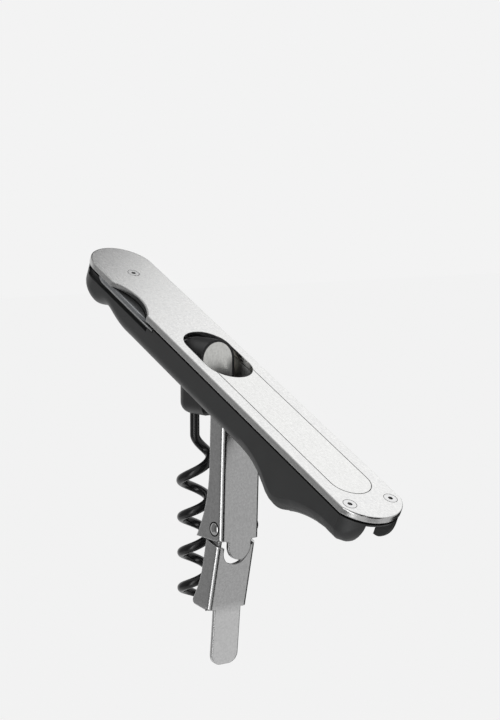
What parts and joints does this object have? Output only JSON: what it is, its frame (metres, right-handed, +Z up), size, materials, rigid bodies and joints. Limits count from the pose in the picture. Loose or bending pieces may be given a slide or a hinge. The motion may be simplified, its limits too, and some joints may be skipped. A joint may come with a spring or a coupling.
{
  "type": "push-pull corkscrew",
  "caption": "Lever corkscrew with a steel plate handle, a hinged worm hub that passes through the plate, a folded two-step lever and a swivelling foil blade.",
  "frame": {"origin": "the worm's axis at the level of its tip, in the pose shown with the worm hanging plumb and the handle tilted down to +X", "axes": "+Z up along the worm's axis from tip to hub, +X towards the lever and the handle's low end, +Y across the handle, away from the side with the thumb scoop"},
  "size_m": [0.1214, 0.0184, 0.1061],
  "materials": {
    "brushed_plate": "brushed",
    "inlay_steel": "brushed",
    "black_body": "satin",
    "hub_black": "satin",
    "lever_steel": "satin",
    "blade_steel": "polished",
    "worm_coating": "gloss",
    "bright_steel": "polished",
    "spring_steel": "plain",
    "brass": "plain",
    "bush_polymer": "plain"
  },
  "bodies": {
    "handle": {"top_plate": "brushed_plate", "plate_inlay": "inlay_steel", "handle_body": "black_body", "end_screws": "bright_steel", "blade_screw": "bright_steel", "liner_near": "spring_steel", "liner_far": "spring_steel", "hub_pin": "bright_steel", "lever_pin": "bright_steel", "hub_washers": "bush_polymer", "lever_washers": "bright_steel", "detent_spring": "spring_steel", "blade_washer": "bush_polymer", "blade_insert": "brass", "end_inserts": "brass"},
    "hub": {"worm_hub": "hub_black", "hub_face": "inlay_steel", "worm": "worm_coating", "hub_bush": "bush_polymer", "worm_roll_pin": "spring_steel"},
    "upper_lever": {"upper_arm": "lever_steel", "step_rivets": "bright_steel"},
    "lower_lever": {"lower_arm": "lever_steel"},
    "blade": {"foil_blade": "blade_steel"}
  },
  "joints": [
    {"name": "worm_pivot", "type": "hinge", "parent": "handle", "child": "hub", "pos_m": [0.00533, 0, 0.0656], "axis": [0, -1, 0], "range_deg": [-45, 58.5]},
    {"name": "lever_pivot", "type": "hinge", "parent": "handle", "child": "upper_lever", "pos_m": [0.0186, 0, 0.0579], "axis": [0, -1, 0], "range_deg": [-48, 62]},
    {"name": "step_pivot", "type": "hinge", "parent": "upper_lever", "child": "lower_lever", "pos_m": [0.01733, 0, 0.02492], "axis": [0, -1, 0], "range_deg": [0, 10]},
    {"name": "blade_pivot", "type": "hinge", "parent": "handle", "child": "blade", "pos_m": [-0.02871, 0, 0.08776], "axis": [-0.4368, 0, -0.8996], "range_deg": [0, 90]}
  ],
  "couplings": [
    {"joint": "lever_pivot", "follows": "worm_pivot", "ratio": 1.055}
  ]
}
